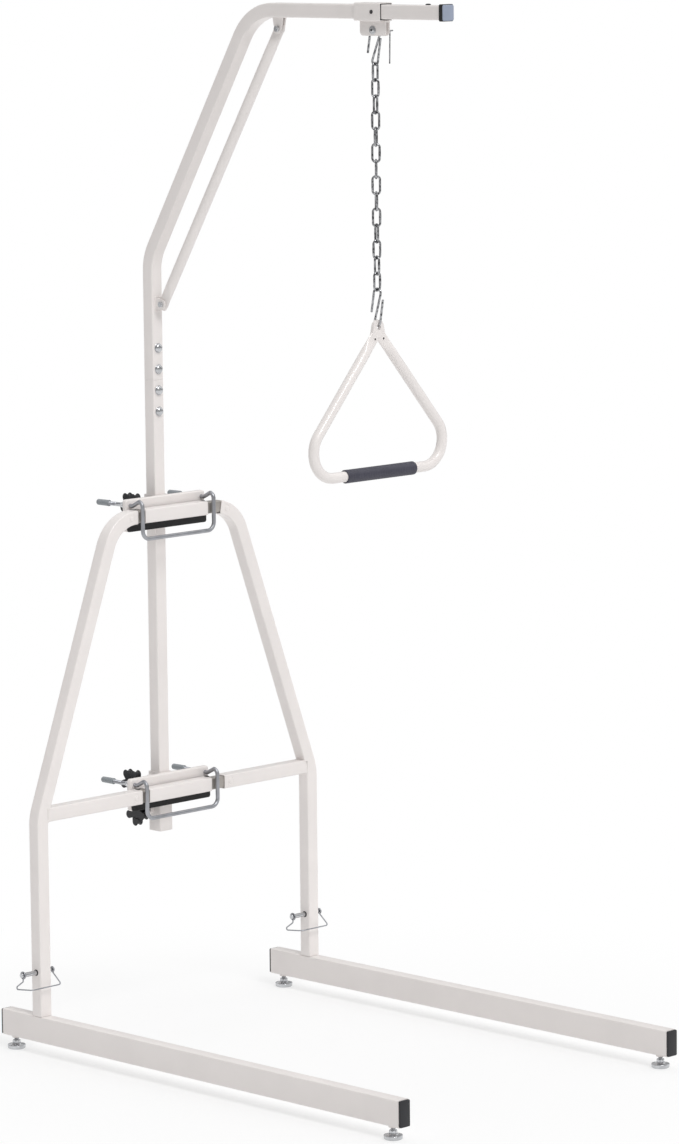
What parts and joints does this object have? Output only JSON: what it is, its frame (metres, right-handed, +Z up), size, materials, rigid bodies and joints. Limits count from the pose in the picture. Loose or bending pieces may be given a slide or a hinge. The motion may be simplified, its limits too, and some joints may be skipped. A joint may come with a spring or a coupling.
{
  "type": "bed trapeze",
  "caption": "Free-standing bed trapeze: floor legs, bent tube frame, clamped mast, braced overhead arm, sliding hook, chain and triangular hand grip.",
  "frame": {"origin": "middle of the bounding box, on the floor", "axes": "+Z up, -Y the way that the arm and the floor legs reach, +X across the frame to the user's left when facing the mast"},
  "size_m": [0.763, 1.026, 1.8999],
  "materials": {
    "enamel": "satin off-white enamel",
    "zinc": "bright zinc plate",
    "grey_steel": "grey plated steel rod",
    "black_plastic": "moulded black plastic",
    "black_rubber": "soft black rubber",
    "grey_vinyl": "grey-blue vinyl"
  },
  "bodies": {
    "root": {"floor_leg_left": "enamel", "floor_leg_right": "enamel", "leg_plug_left_front": "black_plastic", "leg_plug_left_rear": "black_plastic", "leg_plug_right_front": "black_plastic", "leg_plug_right_rear": "black_plastic", "side_frame_left": "enamel", "side_frame_right": "enamel", "crossbar_link_lower": "enamel", "crossbar_link_upper": "enamel", "clamp_bracket_lower": "enamel", "clamp_bracket_upper": "enamel", "clamp_pad_lower": "black_rubber", "clamp_pad_upper": "black_rubber", "lock_pin_left": "zinc", "lock_pin_right": "zinc"},
    "mast": {"mast_lower_tube": "enamel", "splice_tube": "zinc", "mast_upper_arm": "enamel", "arm_brace": "enamel", "arm_end_plug": "grey_vinyl"},
    "slider": {"chain_slider": "enamel", "hanger_bolt": "zinc"},
    "upper_hook": {"hook_upper": "zinc"},
    "link_01": {"chain_link_01": "zinc"},
    "link_02": {"chain_link_02": "zinc"},
    "link_03": {"chain_link_03": "zinc"},
    "link_04": {"chain_link_04": "zinc"},
    "link_05": {"chain_link_05": "zinc"},
    "link_06": {"chain_link_06": "zinc"},
    "link_07": {"chain_link_07": "zinc"},
    "link_08": {"chain_link_08": "zinc"},
    "link_09": {"chain_link_09": "zinc"},
    "link_10": {"chain_link_10": "zinc"},
    "link_11": {"chain_link_11": "zinc"},
    "link_12": {"chain_link_12": "zinc"},
    "link_13": {"chain_link_13": "zinc"},
    "link_14": {"chain_link_14": "zinc"},
    "lower_hook": {"hook_lower": "zinc"},
    "handle": {"handle_tube": "enamel", "hand_grip": "black_rubber"},
    "rod_lower": {"clamp_rod_lower": "grey_steel", "rod_cap_lower_left": "grey_vinyl", "rod_cap_lower_right": "grey_vinyl"},
    "nut_lower_left": {"wing_nut_lower_left": "zinc"},
    "nut_lower_right": {"wing_nut_lower_right": "zinc"},
    "rod_upper": {"clamp_rod_upper": "grey_steel", "rod_cap_upper_left": "grey_vinyl", "rod_cap_upper_right": "grey_vinyl"},
    "nut_upper_left": {"wing_nut_upper_left": "zinc"},
    "nut_upper_right": {"wing_nut_upper_right": "zinc"},
    "knob_lower": {"star_knob_lower": "black_plastic"},
    "knob_rear": {"star_knob_rear": "black_plastic"},
    "knob_upper": {"star_knob_upper": "black_plastic"},
    "foot_left_front": {"levelling_foot_left_front": "zinc"},
    "foot_left_rear": {"levelling_foot_left_rear": "zinc"},
    "keeper_left": {"pin_keeper_left": "zinc"},
    "foot_right_front": {"levelling_foot_right_front": "zinc"},
    "foot_right_rear": {"levelling_foot_right_rear": "zinc"},
    "keeper_right": {"pin_keeper_right": "zinc"}
  },
  "joints": [
    {"name": "mast_height", "type": "slide", "parent": "root", "child": "mast", "axis": [0, 0, 1], "range_m": [-0.1, 0.04]},
    {"name": "slider_travel", "type": "slide", "parent": "mast", "child": "slider", "axis": [0, 1, 0], "range_m": [-0.097, 0.188]},
    {"name": "upper_hook_swing", "type": "hinge", "parent": "slider", "child": "upper_hook", "pos_m": [0.0095, -0.12807, 1.85203], "axis": [1, 0, 0], "range_deg": [-35, 35]},
    {"name": "link_01_swing", "type": "hinge", "parent": "upper_hook", "child": "link_01", "pos_m": [0.0095, -0.12807, 1.79133], "axis": [0, 1, 0], "range_deg": [-35, 35]},
    {"name": "link_02_swing", "type": "hinge", "parent": "link_01", "child": "link_02", "pos_m": [0.0095, -0.12807, 1.76319], "axis": [-0.9945, -0.1045, 0], "range_deg": [-35, 35]},
    {"name": "link_03_swing", "type": "hinge", "parent": "link_02", "child": "link_03", "pos_m": [0.0095, -0.12807, 1.73504], "axis": [0.2079, -0.9781, 0], "range_deg": [-35, 35]},
    {"name": "link_04_swing", "type": "hinge", "parent": "link_03", "child": "link_04", "pos_m": [0.0095, -0.12807, 1.7069], "axis": [0.9511, 0.309, 0], "range_deg": [-35, 35]},
    {"name": "link_05_swing", "type": "hinge", "parent": "link_04", "child": "link_05", "pos_m": [0.0095, -0.12807, 1.67877], "axis": [-0.4067, 0.9135, 0], "range_deg": [-35, 35]},
    {"name": "link_06_swing", "type": "hinge", "parent": "link_05", "child": "link_06", "pos_m": [0.0095, -0.12807, 1.65063], "axis": [-0.866, -0.5, 0], "range_deg": [-35, 35]},
    {"name": "link_07_swing", "type": "hinge", "parent": "link_06", "child": "link_07", "pos_m": [0.0095, -0.12807, 1.62248], "axis": [0.5878, -0.809, 0], "range_deg": [-35, 35]},
    {"name": "link_08_swing", "type": "hinge", "parent": "link_07", "child": "link_08", "pos_m": [0.0095, -0.12807, 1.59434], "axis": [0.7431, 0.6691, 0], "range_deg": [-35, 35]},
    {"name": "link_09_swing", "type": "hinge", "parent": "link_08", "child": "link_09", "pos_m": [0.0095, -0.12807, 1.56621], "axis": [-0.7431, 0.6691, 0], "range_deg": [-35, 35]},
    {"name": "link_10_swing", "type": "hinge", "parent": "link_09", "child": "link_10", "pos_m": [0.0095, -0.12807, 1.53807], "axis": [-0.5878, -0.809, 0], "range_deg": [-35, 35]},
    {"name": "link_11_swing", "type": "hinge", "parent": "link_10", "child": "link_11", "pos_m": [0.0095, -0.12807, 1.50992], "axis": [0.866, -0.5, 0], "range_deg": [-35, 35]},
    {"name": "link_12_swing", "type": "hinge", "parent": "link_11", "child": "link_12", "pos_m": [0.0095, -0.12807, 1.48178], "axis": [0.4067, 0.9135, 0], "range_deg": [-35, 35]},
    {"name": "link_13_swing", "type": "hinge", "parent": "link_12", "child": "link_13", "pos_m": [0.0095, -0.12807, 1.45365], "axis": [-0.9511, 0.309, 0], "range_deg": [-35, 35]},
    {"name": "link_14_swing", "type": "hinge", "parent": "link_13", "child": "link_14", "pos_m": [0.0095, -0.12807, 1.42551], "axis": [-0.2079, -0.9781, 0], "range_deg": [-35, 35]},
    {"name": "lower_hook_swing", "type": "hinge", "parent": "link_14", "child": "lower_hook", "pos_m": [0.0095, -0.12807, 1.39736], "axis": [-0.9945, 0.1045, 0], "range_deg": [-35, 35]},
    {"name": "handle_swing", "type": "hinge", "parent": "lower_hook", "child": "handle", "pos_m": [0.0095, -0.12807, 1.33567], "axis": [0, 1, 0], "range_deg": [-40, 40]},
    {"name": "nut_lower_left_turn", "type": "hinge", "parent": "root", "child": "nut_lower_left", "pos_m": [-0.08, 0.43605, 0.4607], "axis": [0, 1, 0], "range_deg": [0, 3600]},
    {"name": "nut_lower_right_turn", "type": "hinge", "parent": "root", "child": "nut_lower_right", "pos_m": [0.099, 0.43605, 0.4607], "axis": [0, 1, 0], "range_deg": [0, 3600]},
    {"name": "rod_lower_travel", "type": "slide", "parent": "root", "child": "rod_lower", "axis": [0, -1, 0], "range_m": [0, 0.0125]},
    {"name": "nut_upper_left_turn", "type": "hinge", "parent": "root", "child": "nut_upper_left", "pos_m": [-0.08, 0.43605, 0.9805], "axis": [0, 1, 0], "range_deg": [0, 3600]},
    {"name": "nut_upper_right_turn", "type": "hinge", "parent": "root", "child": "nut_upper_right", "pos_m": [0.099, 0.43605, 0.9805], "axis": [0, 1, 0], "range_deg": [0, 3600]},
    {"name": "rod_upper_travel", "type": "slide", "parent": "root", "child": "rod_upper", "axis": [0, -1, 0], "range_m": [0, 0.0125]},
    {"name": "knob_lower_turn", "type": "hinge", "parent": "root", "child": "knob_lower", "pos_m": [-0.0415, 0.45955, 0.4], "axis": [-1, 0, 0], "range_deg": [0, 1080]},
    {"name": "knob_rear_turn", "type": "hinge", "parent": "root", "child": "knob_rear", "pos_m": [-0.0535, 0.45955, 0.459], "axis": [-1, 0, 0], "range_deg": [0, 1080]},
    {"name": "knob_upper_turn", "type": "hinge", "parent": "root", "child": "knob_upper", "pos_m": [-0.0435, 0.45955, 0.975], "axis": [-1, 0, 0], "range_deg": [0, 1080]},
    {"name": "foot_left_front_turn", "type": "hinge", "parent": "root", "child": "foot_left_front", "pos_m": [-0.3328, -0.48495, 0], "axis": [0, 0, 1], "range_deg": [-1440, 1440]},
    {"name": "foot_left_rear_turn", "type": "hinge", "parent": "root", "child": "foot_left_rear", "pos_m": [-0.3328, 0.47905, 0], "axis": [0, 0, 1], "range_deg": [-1440, 1440]},
    {"name": "keeper_left_swing", "type": "hinge", "parent": "root", "child": "keeper_left", "pos_m": [-0.3328, 0.40705, 0.1535], "axis": [1, 0, 0], "range_deg": [-105, 15]},
    {"name": "foot_right_front_turn", "type": "hinge", "parent": "root", "child": "foot_right_front", "pos_m": [0.3518, -0.48495, 0], "axis": [0, 0, 1], "range_deg": [-1440, 1440]},
    {"name": "foot_right_rear_turn", "type": "hinge", "parent": "root", "child": "foot_right_rear", "pos_m": [0.3518, 0.47905, 0], "axis": [0, 0, 1], "range_deg": [-1440, 1440]},
    {"name": "keeper_right_swing", "type": "hinge", "parent": "root", "child": "keeper_right", "pos_m": [0.3518, 0.40705, 0.1535], "axis": [1, 0, 0], "range_deg": [-105, 15]}
  ],
  "couplings": [
    {"joint": "nut_lower_left_turn", "follows": "rod_lower_travel", "rad_per_m": 5026.5},
    {"joint": "nut_lower_right_turn", "follows": "rod_lower_travel", "rad_per_m": 5026.5},
    {"joint": "nut_upper_left_turn", "follows": "rod_upper_travel", "rad_per_m": 5026.5},
    {"joint": "nut_upper_right_turn", "follows": "rod_upper_travel", "rad_per_m": 5026.5}
  ]
}
